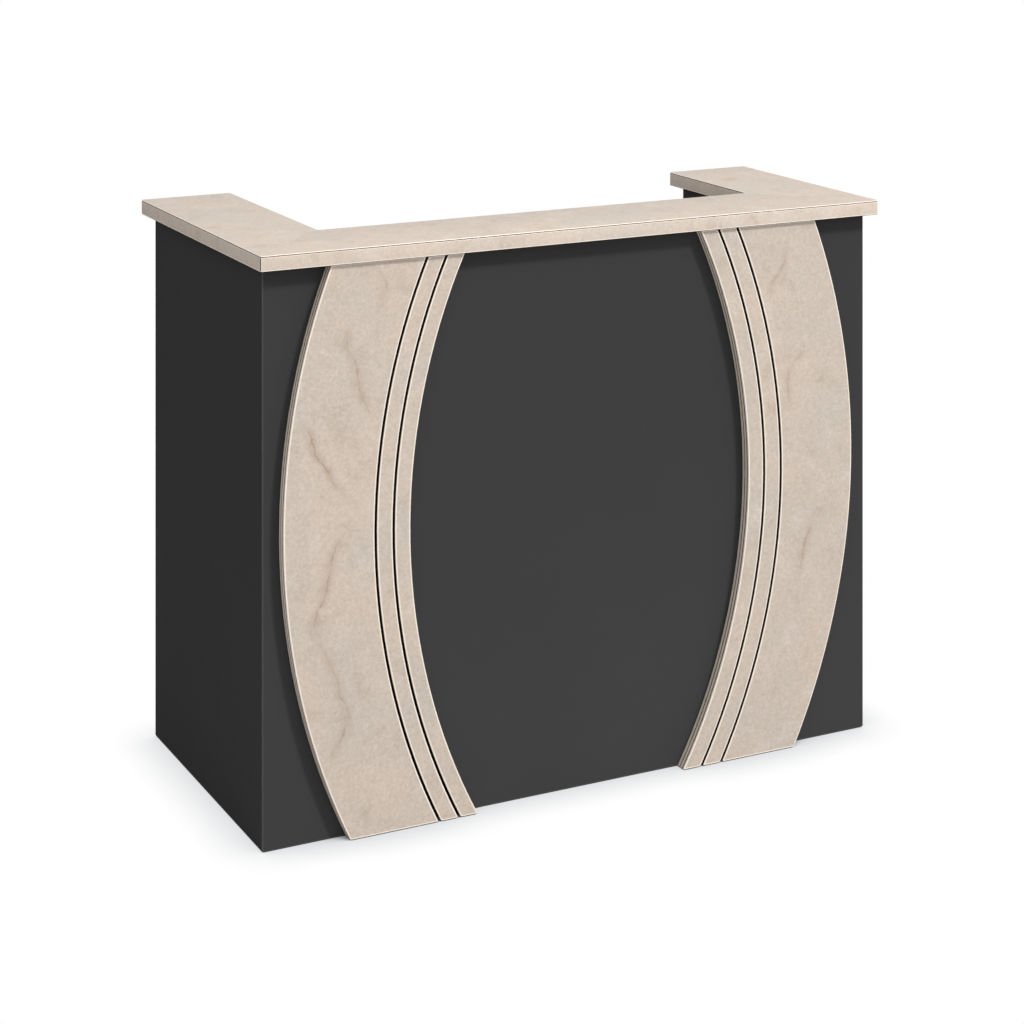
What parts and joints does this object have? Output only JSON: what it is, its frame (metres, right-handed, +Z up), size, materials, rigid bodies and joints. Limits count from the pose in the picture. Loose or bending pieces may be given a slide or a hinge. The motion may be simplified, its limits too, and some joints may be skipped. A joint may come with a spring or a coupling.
{
  "type": "checkout counter",
  "caption": "Free-standing U-plan checkout counter with a stone-look top, dark panels, bowed two-tone facings, and a lockable drawer and cupboard on the staff side.",
  "frame": {"origin": "on the floor, under the centre of the bounding box", "axes": "+Z up, +Y towards the staff side, +X to the right of a customer who faces the counter"},
  "size_m": [1.3, 0.665, 1.05],
  "materials": {
    "stone_laminate": "satin beige stone-look laminate on board, cloudy with fine brown-grey veins",
    "stone_edge_band": "satin beige edge strip",
    "charcoal_laminate": "matte charcoal melamine on 18 mm board",
    "drawer_board": "matte light grey melamine on 12 mm board",
    "zinc_steel": "bright zinc plate on pressed steel",
    "nickel": "brushed nickel plate",
    "black_plastic": "fine-grained black moulding"
  },
  "bodies": {
    "cabinet": {"counter_top": "stone_laminate", "top_edge_strip": "stone_edge_band", "front_panel": "charcoal_laminate", "left_side_panel": "charcoal_laminate", "right_side_panel": "charcoal_laminate", "left_wing_inner_panel": "charcoal_laminate", "right_wing_inner_panel": "charcoal_laminate", "left_wing_end_panel": "charcoal_laminate", "right_wing_end_panel": "charcoal_laminate", "left_wing_base": "charcoal_laminate", "right_wing_base": "charcoal_laminate", "upstand_panel": "charcoal_laminate", "left_facing_backing": "stone_laminate", "left_facing_band": "stone_laminate", "left_facing_outer_strip": "stone_laminate", "left_facing_inner_strip": "stone_laminate", "right_facing_backing": "stone_laminate", "right_facing_band": "stone_laminate", "right_facing_outer_strip": "stone_laminate", "right_facing_inner_strip": "stone_laminate", "work_surface": "stone_laminate", "base_panel": "charcoal_laminate", "centre_divider": "charcoal_laminate", "drawer_deck": "charcoal_laminate", "open_bay_shelf": "charcoal_laminate", "cupboard_shelf": "charcoal_laminate", "left_front_shelf_pin": "nickel", "left_back_shelf_pin": "nickel", "right_front_shelf_pin": "nickel", "right_back_shelf_pin": "nickel", "left_runner_cabinet_member": "zinc_steel", "right_runner_cabinet_member": "zinc_steel", "lock_keeper": "zinc_steel", "upper_hinge_frame_leaf": "nickel", "lower_hinge_frame_leaf": "nickel", "magnetic_catch": "black_plastic", "grommet_ring": "black_plastic"},
    "drawer": {"drawer_front": "charcoal_laminate", "drawer_left_side": "drawer_board", "drawer_right_side": "drawer_board", "drawer_back": "drawer_board", "drawer_bottom": "drawer_board", "drawer_handle": "nickel", "left_runner_drawer_member": "zinc_steel", "right_runner_drawer_member": "zinc_steel", "lock_barrel": "nickel"},
    "runner_middles": {"left_runner_middle_member": "zinc_steel", "right_runner_middle_member": "zinc_steel"},
    "lock": {"lock_cam": "nickel"},
    "door": {"cupboard_door": "charcoal_laminate", "door_handle": "nickel", "upper_hinge_door_leaf": "nickel", "lower_hinge_door_leaf": "nickel", "catch_strike": "zinc_steel"},
    "grommet": {"grommet_cap": "black_plastic"},
    "foot_left_front": {"left_front_foot": "black_plastic"},
    "foot_left_back": {"left_back_foot": "black_plastic"},
    "foot_right_front": {"right_front_foot": "black_plastic"},
    "foot_right_back": {"right_back_foot": "black_plastic"}
  },
  "joints": [
    {"name": "drawer_slide", "type": "slide", "parent": "cabinet", "child": "drawer", "axis": [0, 1, 0], "range_m": [0, 0.34]},
    {"name": "runner_middle_slide", "type": "slide", "parent": "cabinet", "child": "runner_middles", "axis": [0, 1, 0], "range_m": [0, 0.17]},
    {"name": "lock_turn", "type": "hinge", "parent": "drawer", "child": "lock", "pos_m": [0.2345, 0.1298, 0.85], "axis": [0, -1, 0], "range_deg": [0, 90]},
    {"name": "door_swing", "type": "hinge", "parent": "cabinet", "child": "door", "pos_m": [0.4775, 0.1332, 0.37575], "axis": [0, 0, -1], "range_deg": [0, 110]},
    {"name": "grommet_cap_turn", "type": "hinge", "parent": "cabinet", "child": "grommet", "pos_m": [-0.25, -0.0805, 0.9], "axis": [0, 0, 1], "continuous": true},
    {"name": "left_front_foot_travel", "type": "slide", "parent": "cabinet", "child": "foot_left_front", "axis": [0, 0, -1], "range_m": [0, 0.012]},
    {"name": "left_back_foot_travel", "type": "slide", "parent": "cabinet", "child": "foot_left_back", "axis": [0, 0, -1], "range_m": [0, 0.012]},
    {"name": "right_front_foot_travel", "type": "slide", "parent": "cabinet", "child": "foot_right_front", "axis": [0, 0, -1], "range_m": [0, 0.012]},
    {"name": "right_back_foot_travel", "type": "slide", "parent": "cabinet", "child": "foot_right_back", "axis": [0, 0, -1], "range_m": [0, 0.012]}
  ],
  "couplings": [
    {"joint": "runner_middle_slide", "follows": "drawer_slide", "ratio": 0.5}
  ]
}
